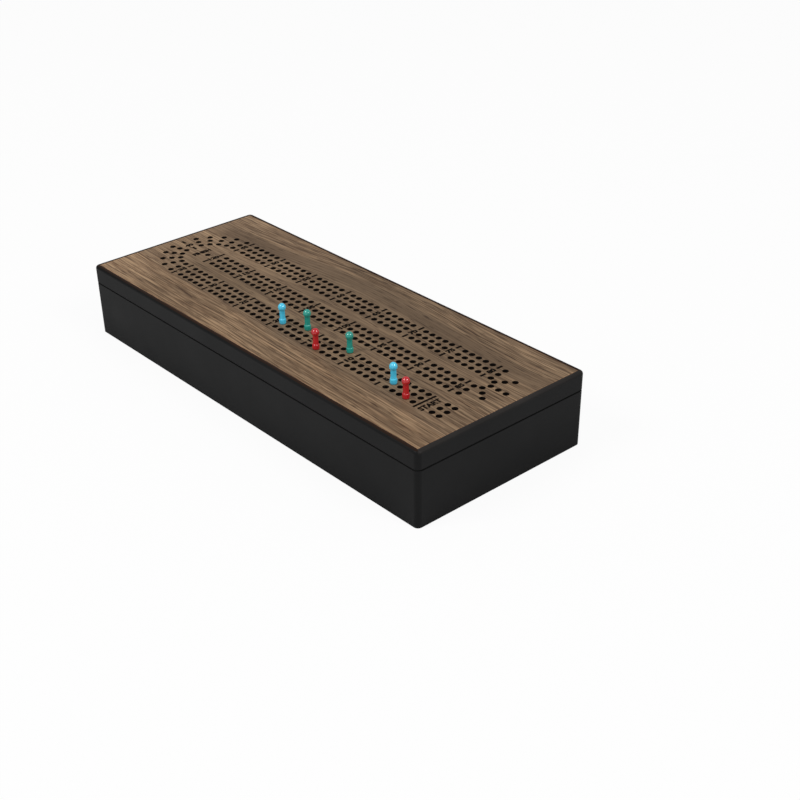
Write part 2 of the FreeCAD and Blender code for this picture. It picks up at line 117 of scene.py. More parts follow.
def noise(tree, coordinates, scale, stretch=(1.0, 1.0, 1.0), detail=3.0):
    """A noise value, its coordinates stretched by a factor for each axis."""
    mapping = add_node(tree, "ShaderNodeMapping", {"Vector": coordinates, "Scale": stretch})
    made = add_node(tree, "ShaderNodeTexNoise",
                    {"Vector": mapping.outputs[0], "Scale": scale, "Detail": detail})
    return made.outputs["Fac"]


def between(tree, value, low, high):
    """A value from 0 to 1 spread over low to high."""
    made = add_node(tree, "ShaderNodeMapRange", {"Value": value, "To Min": low, "To Max": high})
    return made.outputs["Result"]


def span(tree, value, low, high):
    """0 where a value is at low, 1 where it is at high, smooth between."""
    made = add_node(tree, "ShaderNodeMapRange",
                    {"Value": value, "From Min": low, "From Max": high},
                    interpolation_type="SMOOTHSTEP")
    return made.outputs["Result"]


def mixed(tree, kind, factor, under, over):
    """Two colours put together; kind is the way they blend."""
    made = add_node(tree, "ShaderNodeMix", {"Factor": factor, 6: under, 7: over},
                    data_type="RGBA", blend_type=kind)
    return made.outputs[2]


def calculate(tree, operation, first, second=0.0):
    return add_node(tree, "ShaderNodeMath", {0: first, 1: second}, operation=operation).outputs[0]


def axes_of(tree, vector):
    return add_node(tree, "ShaderNodeSeparateXYZ", {"Vector": vector}).outputs


def product(tree, first, *others):
    for other in others:
        first = calculate(tree, "MULTIPLY", first, other)
    return first


def bumped(tree, height, strength, distance, **under):
    """A surface's normal, raised by a height; under may be Normal, a bump below this one."""
    return add_node(tree, "ShaderNodeBump", {"Height": height, "Strength": strength,
                                             "Distance": distance, **under}).outputs[0]


def lacquer(name, grain):
    """Black satin lacquer on a board whose grain runs along the axis with the small stretch;
    the broken edges beside the lid's seam, on the outside faces, are painted black as painted
    shade."""
    material, tree, place = new_material(name)
    rubbing = noise(tree, place, RUBBING, detail=4.0)
    colour = ramp(tree, rubbing, (0.35, LACQUER_BLACK), (0.75, LACQUER_RUBBED))
    axes = axes_of(tree, place)
    from_seam = calculate(tree, "ABSOLUTE", calculate(tree, "SUBTRACT", axes["Z"], seam_z))
    from_end = calculate(tree, "SUBTRACT", half_length, calculate(tree, "ABSOLUTE", axes["X"]))
    from_side = calculate(tree, "SUBTRACT", half_width, calculate(tree, "ABSOLUTE", axes["Y"]))
    # Painted shade: the outside faces within the seam's half width are painted black, standing in
    # for the shade in the seam between lid and base.
    outside = span(tree, calculate(tree, "MINIMUM", from_end, from_side),
                   SEAM_INSET + SEAM_FADE, SEAM_INSET)
    painted_seam_shade = product(tree, outside,
                      span(tree, from_seam, SEAM_HALF_WIDTH + SEAM_FADE, SEAM_HALF_WIDTH))
    peel = bumped(tree, noise(tree, place, ORANGE_PEEL, detail=2.0), ORANGE_PEEL_STRENGTH,
                  LACQUER_RELIEF)
    fibres = bumped(tree, noise(tree, place, WOOD_GRAIN, grain, detail=4.0),
                    WOOD_GRAIN_STRENGTH, LACQUER_RELIEF, Normal=peel)
    return surfaced(material, {
        "Base Color": mixed(tree, "MIX", painted_seam_shade, colour, SEAM_PAINTED_SHADE),
        "Roughness": between(tree, noise(tree, place, SHEEN_CHANGE, detail=4.0),
                             *LACQUER_ROUGHNESS),
        "Specular IOR Level": LACQUER_SPECULAR, "Normal": fibres})


def finish_with(material, *names):
    """Gives solids that keep their shape their finish."""
    for name in names:
        for slot in nodes[name].material_slots:
            slot.material = material


finish_with(lacquer("black_lacquer_long", LONG_GRAIN),
            "base_front_wall", "base_back_wall", "base_bottom_panel")
finish_with(lacquer("black_lacquer_cross", CROSS_GRAIN),
            "base_left_wall", "base_right_wall", "divider_left", "divider_right")

# --------------------------------------------------------------
# Felt: a sheet of short black wool felt laid and glued in each well, and one under the board.
# Cut by knife, so its edges are a little soft; the nap lies every way and catches light low down.
# --------------------------------------------------------------
FELT_BLACK = (0.011, 0.011, 0.013, 1.0)
FELT_GREY = (0.034, 0.034, 0.038, 1.0)
HAIR_TURNS = (20, 80, 140)
HAIR_STRETCH = (650.0, 5200.0, 2600.0)
HAIR_RELIEF = 0.12 * MM
PRESSED, PRESSED_SHARE = 70.0, (0.90, 1.10)
FELT_EDGE = 0.3 * MM
FELT_CELL = 4.0 * MM
FELT_SWELL = 0.06 * MM
SWELL_ALONG, SWELL_ACROSS, SWELL_SKEW = 410, 530, 90


def felt_finish():
    """Short hairs matted in three directions, pressed a little more in some places."""
    material, tree, place = new_material("black_felt")
    matted = 0.0
    for turn in HAIR_TURNS:
        turned = add_node(tree, "ShaderNodeMapping",
                          {"Vector": place, "Rotation": (0.0, 0.0, math.radians(turn))})
        hairs = noise(tree, turned.outputs[0], 1.0, HAIR_STRETCH, detail=2.0)
        matted = calculate(tree, "MAXIMUM", matted, hairs)
    pressed = between(tree, noise(tree, place, PRESSED), *PRESSED_SHARE)
    return surfaced(material, {
        "Base Color": ramp(tree, product(tree, matted, pressed),
                           (0.46, FELT_BLACK), (0.70, FELT_GREY)),
        "Roughness": 0.95, "Specular IOR Level": 0.1, "Sheen Weight": 0.25,
        "Sheen Roughness": 0.6, "Normal": bumped(tree, matted, 0.6, HAIR_RELIEF)})


felt_material = felt_finish()


def mesh_from(name, shape):
    """The mesh of a finished bmesh."""
    mesh = bpy.data.meshes.new(name)
    shape.to_mesh(mesh)
    shape.free()
    return mesh


def mesh_object(name, mesh, material=None):
    """A finished mesh as an object at the origin; without a material it keeps its own."""
    piece = bpy.data.objects.new(name, mesh)
    bpy.context.scene.collection.objects.link(piece)
    if material:
        mesh.materials.clear()
        mesh.materials.append(material)
    return piece


def felt_sheet(name, node, body):
    """A sheet of felt in the place of its solid, with worn edges and a faintly uneven face."""
    low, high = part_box(node)
    size, middle = high - low, (low + high) / 2
    shape = bmesh.new()
    bmesh.ops.create_cube(shape, size=1.0)
    bmesh.ops.transform(shape, verts=shape.verts,
                        matrix=Matrix.Translation(middle) @ Matrix.Diagonal((*size, 1.0)))
    rim = [e for e in shape.edges if abs((e.verts[0].co - e.verts[1].co).z) < 1e-9]
    bmesh.ops.bevel(shape, geom=rim, offset=FELT_EDGE, segments=3, affect="EDGES")
    for axis in (0, 1):
        cells = round(size[axis] / FELT_CELL)
        for step in range(1, cells):
            cut = low.copy()
            cut[axis] = low[axis] + size[axis] * step / cells
            normal = Vector((0, 0, 0))
            normal[axis] = 1.0
            geometry = shape.verts[:] + shape.edges[:] + shape.faces[:]
            bmesh.ops.bisect_plane(shape, geom=geometry, plane_co=cut, plane_no=normal)
    for vert in shape.verts:
        x, y, z = vert.co
        if z > middle.z:
            swell = math.sin(x * SWELL_ALONG) * math.sin(y * SWELL_ACROSS + x * SWELL_SKEW)
            vert.co.z -= FELT_SWELL * (1 + swell)
    mesh = mesh_from(name, shape)
    mesh.shade_smooth()
    piece = mesh_object(name, mesh, felt_material)
    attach(piece, body)
    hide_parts(node)


for well, node in (("left", "card_well_left"), ("middle", "peg_well"),
                   ("right", "card_well_right")):
    felt_sheet(f"felt_{well}", f"felt_{node}", "box_base")
felt_sheet("felt_lid", "lid_lining", "lid")

# --------------------------------------------------------------
# Lid rails: four mitred boards of the same wood under the same lacquer.  The rounded top edge
# next to the veneer has a painted highlight in patches: warm brown on the long rails, a grey
# sheen on the ends.
# --------------------------------------------------------------
LONG_RAIL_HIGHLIGHT = (0.030, 0.012, 0.005, 1.0)
LONG_RAIL_HIGHLIGHT_DEPTH = 0.5 * MM
CROSS_RAIL_SHEEN = (0.034, 0.030, 0.028, 1.0)
CROSS_RAIL_SHEEN_DEPTH = 2.2 * MM
HIGHLIGHT_PATCHES, HIGHLIGHT_SHARE = 30.0, (0.1, 1.2)
rail_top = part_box("lid_front_rail")[1].z


def rail_finish(name, grain, highlight_colour, highlight_depth):
    """The lacquer, with a painted highlight of that colour over that depth of the rounded top
    edge.
    """
    material = lacquer(name, grain)
    tree = material.node_tree
    surface = next(n for n in tree.nodes if n.type == "BSDF_PRINCIPLED")
    black = surface.inputs["Base Color"].links[0].from_socket
    place = next(n for n in tree.nodes if n.type == "TEX_COORD").outputs["Object"]
    # Painted highlight on the rounded top edge, broken into patches by noise.
    painted_edge_highlight = product(tree, span(tree, axes_of(tree, place)["Z"], rail_top - highlight_depth, rail_top),
                   between(tree, noise(tree, place, HIGHLIGHT_PATCHES, detail=4.0), *HIGHLIGHT_SHARE))
    tree.links.new(mixed(tree, "MIX", painted_edge_highlight, black, highlight_colour), surface.inputs["Base Color"])
    return material


finish_with(rail_finish("rail_lacquer_long", LONG_GRAIN, LONG_RAIL_HIGHLIGHT, LONG_RAIL_HIGHLIGHT_DEPTH),
            "lid_front_rail", "lid_back_rail")
finish_with(rail_finish("rail_lacquer_cross", CROSS_GRAIN, CROSS_RAIL_SHEEN,
                        CROSS_RAIL_SHEEN_DEPTH),
            "lid_left_rail", "lid_right_rail")

# --------------------------------------------------------------
# Playing board: walnut veneer on a rabbeted panel, drilled with the three tracks of peg holes.
# The straight runs come first, then the two turns, the start holes and the finish hole; each
# hole is drilled 6.5 mm deep with its rim just broken by the drill.
# --------------------------------------------------------------
HOLE_DIAMETER = 3.4 * MM
HOLE_DEPTH = 6.5 * MM
HOLE_RIM = 0.10 * MM
HOLE_SIDES = 24
RANK_PITCH = 5.17 * MM
LABEL_PITCH = 31.02 * MM
GROUPS = 7
TRACK_SPACING = 5.43 * MM
COLUMN_SPACING = 23.05 * MM
BIG_TURN_X = -108.46 * MM
SMALL_TURN_X = 118.0 * MM
START_X = 122.8 * MM
FINISH_X = -110.36 * MM
FIRST_LABEL_X = BIG_TURN_X + RANK_PITCH
LIP_THICKNESS = 3.0 * MM
LIP_BREAK = 0.15 * MM
CORE_INSET = 5.4 * MM
CORE_STEP = 0.001 * MM
WELD = 0.001 * MM
# The wood inside the holes, painted almost black: painted shade in the holes.
SHADED_DRILLED_WOOD = (0.0070, 0.0035, 0.0025, 1.0)
DEEPLY_SHADED_DRILLED_WOOD = (0.0025, 0.0016, 0.0013, 1.0)
DRILL_RINGS, DRILL_RELIEF = (900.0, 900.0, 5200.0), 0.1 * MM

TRACKS = (-TRACK_SPACING, 0.0, TRACK_SPACING)
COLUMNS = (-COLUMN_SPACING, 0.0, COLUMN_SPACING)
board_low, board_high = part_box("playing_board")


def hole_places():
    """Centres of all the peg holes, in the plane of the board."""
    places = [(FINISH_X, 0.0)]
    for column in COLUMNS:
        for group in range(GROUPS):
            for rank in range(1, 6):
                x = FIRST_LABEL_X + group * LABEL_PITCH + rank * RANK_PITCH
                places += [(x, column + track) for track in TRACKS]
    for rank in (0, 1):
        places += [(START_X + rank * RANK_PITCH, track - COLUMN_SPACING) for track in TRACKS]
    for track in TRACKS:
        for rank in range(5):
            for side in (-1, 1):
                angle = math.radians(90 + 18 * rank)
                radius = COLUMN_SPACING + track
                places.append((BIG_TURN_X + radius * math.cos(angle),
                               side * radius * math.sin(angle)))
            angle = math.radians(90 - 45 * rank)
            radius = COLUMN_SPACING / 2 + track
            places.append((SMALL_TURN_X + radius * math.cos(angle),
                           COLUMN_SPACING / 2 + radius * math.sin(angle)))
    return places


# The veneer's zones are pairs in millimetres: where a zone starts and where it is full.
VENEER_SHADE = (0.168, 0.112, 0.068, 1.0)
VENEER_MIDDLE = (0.188, 0.126, 0.076, 1.0)
VENEER_PALE = (0.204, 0.138, 0.084, 1.0)
VENEER_BANDS = (3.0, 90.0, 40.0)
GRAIN_SLOPE, SLOPE_ACROSS = 0.03, (5.0, -25.0)
ARCH_HEIGHT, ARCH_ALONG, ARCH_ACROSS = 9.0 * MM, (125.0, 0.0), (0.0, 35.0)
ARCH_TINT = (0.88, 0.88, 0.88, 1.0)
SWAY, SWAY_STRETCH = 2.0 * MM, (9.0, 26.0, 1.0)
FRONT_STRIP, FRONT_TINT = (-32.5, -36.5), (1.15, 1.13, 1.10, 1.0)
PALE_BEHIND, PALE_BEHIND_ACROSS, PALE_BEHIND_SHARE = (-20.0, -70.0), (-2.0, 9.0), 0.72
PALE_END, PALE_TINT = (-95.0, -127.0), (1.37, 1.38, 1.40, 1.0)
SHADOW_ALONG, SHADOW_BACK, SHADOW_FRONT = (-70.0, -20.0), (-26.0, -31.0), (-37.0, -35.0)
SHADOW_TINT = (0.88, 0.87, 0.87, 1.0)
DUSK_ALONG, DUSK_BACK, DUSK_FRONT = (-20.0, -60.0), (-3.0, -8.0), (-20.0, -15.0)
DUSK_TINT = (0.92, 0.92, 0.91, 1.0)
HEART_FRONT, HEART_BACK, HEART_TINT = (22.0, 29.0), (41.0, 35.0), (0.87, 0.86, 0.86, 1.0)
LEFT_KNOT = (-139.0, -127.0), (-40.0, -90.0)
RIGHT_KNOT, RIGHT_KNOT_SHARE = ((25.0, 60.0), (138.0, 100.0)), 0.5
KNOT_TINT = (0.67, 0.65, 0.64, 1.0)
LIVELY_SIDES, LIVELY_ENDS = (27.0, 38.0), (112.0, 130.0)
QUIET_SHARE, HEART_SHARE, FIBRE_SHARE, PORE_SHARE = 0.45, 0.25, 0.55, 0.85
EDGE_HIGHLIGHT_WIDTH, EDGE_HIGHLIGHT_TINT = 0.7 * MM, (1.22, 1.12, 1.08, 1.0)
UNTINTED = (1.0, 1.0, 1.0, 1.0)

# Layers of lines: the stretch of their noise, its detail and what they do to the wood's colour.
STREAKS = (8.0, 800.0, 450.0), 2.0, (
    (0.30, (0.87, 0.85, 0.84, 1.0)), (0.46, UNTINTED), (0.70, (1.10, 1.10, 1.09, 1.0)))
FLECKS = (50.0, 1350.0, 750.0), 2.0, (
    (0.34, (0.54, 0.49, 0.46, 1.0)), (0.48, UNTINTED), (0.66, (1.38, 1.37, 1.35, 1.0)))
FIBRES = (22.0, 1500.0, 900.0), 1.0, (
    (0.34, (0.64, 0.60, 0.58, 1.0)), (0.50, UNTINTED), (0.68, (1.30, 1.30, 1.29, 1.0)))
PORES = (85.0, 1500.0, 1300.0), 2.0, ((0.33, (0.30, 0.25, 0.23, 1.0)), (0.42, UNTINTED))
RING_STRETCH, RINGS, RING_BREAKS = (2.6, 170.0, 90.0), 8.0, (30.0, 420.0, 90.0)
VENEER_ROUGHNESS, PORE_RELIEF = (0.50, 0.64), 0.05 * MM
RING_TINTS = ((0.0, (1.10, 1.08, 1.06, 1.0)), (0.60, UNTINTED), (0.82, (0.81, 0.75, 0.71, 1.0)),
              (0.90, (0.62, 0.55, 0.51, 1.0)), (1.0, (1.10, 1.08, 1.06, 1.0)))


def zone(tree, value, ends):
    return span(tree, value, ends[0] * MM, ends[1] * MM)


def offset(tree, x=0.0, y=0.0, z=0.0):
    return add_node(tree, "ShaderNodeCombineXYZ", {"X": x, "Y": y, "Z": z}).outputs[0]


def walnut_finish():
    """Oiled walnut veneer: grain along X that arches at the back, smooth olive heartwood
    patches behind the tracks, paler and livelier wood in front and at the left end."""
    material, tree, place = new_material("walnut_veneer")
    seat = axes_of(tree, place)
    from_middle_x = calculate(tree, "ABSOLUTE", seat["X"])
    slope = product(tree, seat["X"], GRAIN_SLOPE, zone(tree, seat["Y"], SLOPE_ACROSS))
    arch = product(tree, zone(tree, from_middle_x, ARCH_ALONG),
                   zone(tree, seat["Y"], ARCH_ACROSS))
    bend = calculate(tree, "SUBTRACT", slope, product(tree, arch, ARCH_HEIGHT))
    sway = between(tree, noise(tree, place, 1.0, SWAY_STRETCH, detail=1.0), -SWAY, SWAY)
    drift = offset(tree, y=calculate(tree, "ADD", bend, sway))
    lean = add_node(tree, "ShaderNodeVectorMath", {0: place, 1: drift},
                    operation="ADD").outputs[0]
    along, across = axes_of(tree, lean)[:2]
    from_middle_y = calculate(tree, "ABSOLUTE", across)

    bands = noise(tree, lean, 1.0, VENEER_BANDS, detail=2.0)
    wood = ramp(tree, bands, (0.30, VENEER_SHADE), (0.50, VENEER_MIDDLE), (0.70, VENEER_PALE))
    behind = product(tree, zone(tree, along, PALE_BEHIND),
                     zone(tree, seat["Y"], PALE_BEHIND_ACROSS), PALE_BEHIND_SHARE)
    pale = calculate(tree, "MAXIMUM", behind, zone(tree, along, PALE_END))
    shadow = product(tree, zone(tree, along, SHADOW_ALONG), zone(tree, across, SHADOW_BACK),
                     zone(tree, across, SHADOW_FRONT))
    dusk = product(tree, zone(tree, along, DUSK_ALONG), zone(tree, across, DUSK_BACK),
                   zone(tree, across, DUSK_FRONT))
    heart = product(tree, zone(tree, across, HEART_FRONT), zone(tree, across, HEART_BACK))
    left_knot = product(tree, *(zone(tree, along, ends) for ends in LEFT_KNOT))
    right_knot = product(tree, *(zone(tree, along, ends) for ends in RIGHT_KNOT),
                         RIGHT_KNOT_SHARE)
    knots = product(tree, heart, calculate(tree, "MAXIMUM", left_knot, right_knot))
    for share, tint in ((zone(tree, across, FRONT_STRIP), FRONT_TINT), (pale, PALE_TINT),
                        (arch, ARCH_TINT), (shadow, SHADOW_TINT), (dusk, DUSK_TINT),
                        (heart, HEART_TINT), (knots, KNOT_TINT)):
        wood = mixed(tree, "MULTIPLY", share, wood, tint)

    near_rim = calculate(tree, "MAXIMUM", zone(tree, from_middle_y, LIVELY_SIDES),
                         zone(tree, from_middle_x, LIVELY_ENDS))
    lively = product(tree, between(tree, near_rim, QUIET_SHARE, 1.0),
                     between(tree, heart, 1.0, HEART_SHARE))

    def lines(stretch, detail, tints):
        """The noise of a layer of lines, and its tint."""
        value = noise(tree, lean, 1.0, stretch, detail)
        return value, ramp(tree, value, *tints)

    streaks, streak_tint = lines(*STREAKS)
    growth = noise(tree, lean, 1.0, RING_STRETCH, detail=1.0)
    ring = calculate(tree, "FRACT", product(tree, growth, RINGS))
    broken = span(tree, noise(tree, lean, 1.0, RING_BREAKS, detail=2.0), 0.36, 0.64)
    pore_tint = lines(*PORES)[1]
    for share, tint in ((lively, streak_tint),
                        (product(tree, broken, lively), ramp(tree, ring, *RING_TINTS)),
                        (lively, lines(*FLECKS)[1]),
                        (between(tree, lively, FIBRE_SHARE, 1.0), lines(*FIBRES)[1]),
                        (PORE_SHARE, pore_tint)):
        wood = mixed(tree, "MULTIPLY", share, wood, tint)

    # Painted highlight: the veneer is lightened within that width of its ends and sides, where
    # its broken edge catches light.
    by_end = span(tree, from_middle_x, board_high.x - EDGE_HIGHLIGHT_WIDTH, board_high.x - EDGE_HIGHLIGHT_WIDTH / 2)
    by_side = span(tree, calculate(tree, "ABSOLUTE", seat["Y"]),
                   board_high.y - EDGE_HIGHLIGHT_WIDTH, board_high.y - EDGE_HIGHLIGHT_WIDTH / 2)
    veneer_edge_highlight = calculate(tree, "MAXIMUM", by_end, by_side)
    return surfaced(material, {
        "Base Color": mixed(tree, "MULTIPLY", veneer_edge_highlight, wood, EDGE_HIGHLIGHT_TINT),
        "Roughness": between(tree, streaks, *VENEER_ROUGHNESS), "Specular IOR Level": 0.2,
        "Normal": bumped(tree, pore_tint, 0.25, PORE_RELIEF)})


def drilled_wood_finish():
    """The cut wood inside a hole, painted almost black as painted shade in the hole."""
    material, tree, place = new_material("drilled_wood")
    rings = noise(tree, place, 1.0, DRILL_RINGS)
    return surfaced(material, {
        "Base Color": ramp(tree, rings, (0.3, DEEPLY_SHADED_DRILLED_WOOD), (0.7, SHADED_DRILLED_WOOD)),
        "Roughness": 0.8, "Specular IOR Level": 0.15,
        "Normal": bumped(tree, rings, 0.5, DRILL_RELIEF)})


def new_tree(name, sizes):
    """A geometry tree that takes a mesh, sizes and materials by name and gives a mesh."""
    tree = bpy.data.node_groups.new(name, "GeometryNodeTree")
    tree.interface.new_socket("Geometry", in_out="INPUT", socket_type="NodeSocketGeometry")
    for size in sizes:
        kind = "NodeSocketMaterial" if size.endswith("Material") else "NodeSocketFloat"
        tree.interface.new_socket(size, in_out="INPUT", socket_type=kind)
    tree.interface.new_socket("Geometry", in_out="OUTPUT", socket_type="NodeSocketGeometry")
    given = tree.nodes.new("NodeGroupInput").outputs
    return tree, given


def raised(tree, geometry, height):
    return add_node(tree, "GeometryNodeTransform",
                    {"Geometry": geometry, "Translation": offset(tree, z=height)}).outputs[0]


def painted(tree, geometry, material):
    return add_node(tree, "GeometryNodeSetMaterial",
                    {"Geometry": geometry, "Material": material}).outputs[0]


def joined(tree, *parts):
    made = tree.nodes.new("GeometryNodeJoinGeometry")
    for part in reversed(parts):
        tree.links.new(part, made.inputs[0])
    return made.outputs[0]


def end_tree(tree, geometry):
    """Realized instances go to the output."""
    real = add_node(tree, "GeometryNodeRealizeInstances", {"Geometry": geometry})
    output = tree.nodes.new("NodeGroupOutput")
    tree.links.new(real.outputs[0], output.inputs[0])


def rectangle(tree, length, width):
    return add_node(tree, "GeometryNodeCurvePrimitiveQuadrilateral",
                    {"Width": length, "Height": width}).outputs[0]


def drilled_board_tree():
    """A rabbeted panel with a round blind hole under each point of the mesh that comes in."""
    tree, given = new_tree("drilled_board", [
        "Lip Length", "Lip Width", "Lip Thickness", "Core Length", "Core Width",
        "Board Thickness", "Edge Break", "Hole Diameter", "Hole Depth", "Hole Rim",
        "Veneer Material", "Hole Material"])
    radius = product(tree, given["Hole Diameter"], 0.5)
    mouth_radius = calculate(tree, "ADD", radius, given["Hole Rim"])
    below_rim = product(tree, given["Hole Rim"], -1.0)
    bottom = product(tree, given["Hole Depth"], -1.0)

    mouth = add_node(tree, "GeometryNodeCurvePrimitiveCircle",
                     {"Resolution": HOLE_SIDES, "Radius": mouth_radius})
    mouths = add_node(tree, "GeometryNodeInstanceOnPoints",
                      {"Points": given["Geometry"], "Instance": mouth.outputs[0]})
    edge = product(tree, given["Edge Break"], 2.0)
    face_length = calculate(tree, "SUBTRACT", given["Lip Length"], edge)
    face_width = calculate(tree, "SUBTRACT", given["Lip Width"], edge)
    outline = rectangle(tree, face_length, face_width)
    lines = add_node(tree, "GeometryNodeRealizeInstances",
                     {"Geometry": joined(tree, outline, mouths.outputs[0])})
    face = add_node(tree, "GeometryNodeFillCurve", {"Curve": lines.outputs[0]}, mode="TRIANGLES")

    rim = add_node(tree, "GeometryNodeMeshCone",
                   {"Vertices": HOLE_SIDES, "Side Segments": 1, "Radius Top": mouth_radius,
                    "Radius Bottom": radius, "Depth": given["Hole Rim"]}, fill_type="NONE")
    wall_depth = calculate(tree, "SUBTRACT", given["Hole Depth"], given["Hole Rim"])
    wall = add_node(tree, "GeometryNodeMeshCylinder",
                    {"Vertices": HOLE_SIDES, "Side Segments": 1, "Radius": radius,
                     "Depth": wall_depth}, fill_type="NONE")
    wall_middle = product(tree, calculate(tree, "ADD", bottom, below_rim), 0.5)
    floor = add_node(tree, "GeometryNodeMeshCircle", {"Vertices": HOLE_SIDES, "Radius": radius},
                     fill_type="NGON")
    sleeve = add_node(tree, "GeometryNodeFlipFaces",
                      {"Mesh": joined(tree, raised(tree, rim.outputs["Mesh"], below_rim),
                                      raised(tree, wall.outputs["Mesh"], wall_middle))})
    hole = painted(tree, joined(tree, sleeve.outputs[0], raised(tree, floor.outputs[0], bottom)),
                   given["Hole Material"])
    holes = add_node(tree, "GeometryNodeInstanceOnPoints",
                     {"Points": given["Geometry"], "Instance": hole})

    def frustum(length, width, top_z, bottom_length, bottom_width, bottom_z):
        """Four sloping or upright sides between two rectangles."""
        edges = add_node(tree, "GeometryNodeCurveToMesh",
                         {"Curve": rectangle(tree, length, width)})
        drop = calculate(tree, "SUBTRACT", bottom_z, top_z)
        sides = add_node(tree, "GeometryNodeExtrudeMesh",
                         {"Mesh": raised(tree, edges.outputs[0], top_z),
                          "Offset": offset(tree, z=drop), "Offset Scale": 1.0}, mode="EDGES")
        spread = offset(tree, calculate(tree, "DIVIDE", bottom_length, length),
                        calculate(tree, "DIVIDE", bottom_width, width), 1.0)
        position = add_node(tree, "GeometryNodeInputPosition").outputs[0]
        wider = add_node(tree, "ShaderNodeVectorMath", {0: position, 1: spread},
                         operation="MULTIPLY")
        height = axes_of(tree, position)["Z"]
        middle = product(tree, calculate(tree, "ADD", top_z, bottom_z), 0.5)
        moved = add_node(tree, "GeometryNodeSetPosition",
                         {"Geometry": sides.outputs[0],
                          "Selection": calculate(tree, "LESS_THAN", height, middle),
                          "Position": wider.outputs[0]})
        return moved.outputs[0]

    lip_size = given["Lip Length"], given["Lip Width"]
    core_size = given["Core Length"], given["Core Width"]
    below_break = product(tree, given["Edge Break"], -1.0)
    lip_bottom = product(tree, given["Lip Thickness"], -1.0)
    core_top = calculate(tree, "SUBTRACT", lip_bottom, CORE_STEP)
    underside = product(tree, given["Board Thickness"], -1.0)
    broken = frustum(face_length, face_width, 0.0, *lip_size, below_break)
    lip = frustum(*lip_size, below_break, *lip_size, lip_bottom)
    step = frustum(*lip_size, lip_bottom, *core_size, core_top)
    core = frustum(*core_size, core_top, *core_size, underside)
    under = add_node(tree, "GeometryNodeMeshGrid",
                     {"Size X": given["Core Length"], "Size Y": given["Core Width"],
                      "Vertices X": 2, "Vertices Y": 2})
    under_turned = add_node(tree, "GeometryNodeFlipFaces",
                            {"Mesh": raised(tree, under.outputs[0], underside)})
    body = painted(tree, joined(tree, face.outputs[0], broken, lip, step, core,
                                under_turned.outputs[0]), given["Veneer Material"])
    end_tree(tree, joined(tree, body, holes.outputs[0]))
    return tree


def meshed(name, data, tree=None, values=()):
    """The mesh that a curve, a text or a mesh comes to; a geometry tree takes values by name."""
    source = bpy.data.objects.new(name + "_source", data)
    bpy.context.scene.collection.objects.link(source)
    if tree:
        modifier = source.modifiers.new("shape", "NODES")
        modifier.node_group = tree
        for socket in tree.interface.items_tree:
            if socket.in_out == "INPUT" and socket.name in values:
                modifier[socket.identifier] = values[socket.name]
    bpy.context.view_layer.update()
    evaluated = source.evaluated_get(bpy.context.evaluated_depsgraph_get())
    mesh = bpy.data.meshes.new_from_object(evaluated)
    mesh.name = name
    source.modifiers.clear()
    bpy.data.objects.remove(source)
    return mesh


def grow(name, tree, points, values):
    """The mesh that a geometry tree makes from points."""
    seeds = bpy.data.meshes.new(name + "_points")
    seeds.from_pydata(points, [], [])
    return meshed(name, seeds, tree, values)


board_size = board_high - board_low
board_mesh = grow("walnut_board", drilled_board_tree(),
                  [(x, y, 0.0) for x, y in hole_places()],
                  {"Lip Length": board_size.x, "Lip Width": board_size.y,
                   "Lip Thickness": LIP_THICKNESS,
                   "Core Length": board_size.x - 2 * CORE_INSET,
                   "Core Width": board_size.y - 2 * CORE_INSET,
                   "Board Thickness": board_size.z,
                   "Edge Break": LIP_BREAK, "Hole Diameter": HOLE_DIAMETER,
                   "Hole Depth": HOLE_DEPTH, "Hole Rim": HOLE_RIM,
                   "Veneer Material": walnut_finish(), "Hole Material": drilled_wood_finish()})
shape = bmesh.new()
shape.from_mesh(board_mesh)
bmesh.ops.translate(shape, verts=shape.verts, vec=(0.0, 0.0, board_high.z))
bmesh.ops.remove_doubles(shape, verts=shape.verts, dist=WELD)
bmesh.ops.recalc_face_normals(shape, faces=shape.faces)
shape.to_mesh(board_mesh)
shape.free()
walnut_board = mesh_object("walnut_board", board_mesh)
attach(walnut_board, "lid")
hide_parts("playing_board")

# --------------------------------------------------------------
# Markings: the street numbers with a dash on each side, START with its line, and FINISH.
# They are burnt into the veneer by laser, so they are matt and almost black-brown.
# --------------------------------------------------------------
CHAR = (0.0018, 0.0013, 0.0010, 1.0)
BURNT_WOOD = (0.0050, 0.0032, 0.0024, 1.0)
CHAR_STRETCH = (900.0, 2600.0, 900.0)
MARK_RISE = 0.03 * MM
MARK_THICKNESS = 0.09 * MM
LABEL_PLACES = tuple(x * MM for x in (-103.9, -72.3, -41.6, -10.1, 21.4, 52.5, 82.2, 113.0))
LABEL_STEP = 5
FIRST_COLUMN_END, SECOND_COLUMN_START, THIRD_COLUMN_END = 35, 45, 120
NUMBER_HEIGHT = 3.5 * MM
NUMBER_WEIGHT = 0.045
LABEL_WIDTHS = {1: 2.7 * MM, 2: 5.6 * MM, 3: 7.4 * MM}
LABEL_40_X = -130.5 * MM
LABEL_40_DASH_FROM_MIDDLE = 5.8 * MM
DASH_SIZE = (1.55 * MM, 4.2 * MM)
DASH_FROM_MIDDLE = 6.1 * MM
START_LINE_X = 112.4 * MM
START_LINE_Y = -COLUMN_SPACING - 0.8 * MM
START_LINE_SIZE = (1.45 * MM, 15.9 * MM)
START_TEXT_X = 116.7 * MM
START_TEXT_Y = -COLUMN_SPACING - 1.1 * MM
START_TEXT_SIZE = (14.8 * MM, 4.1 * MM)
START_WEIGHT = 0.036
FINISH_TEXT_X = -116.0 * MM
FINISH_TEXT_Y = -0.4 * MM
FINISH_TEXT_SIZE = (12.7 * MM, 3.7 * MM)
FINISH_WEIGHT = 0.045

mark_middle_z = board_high.z + MARK_RISE - MARK_THICKNESS / 2


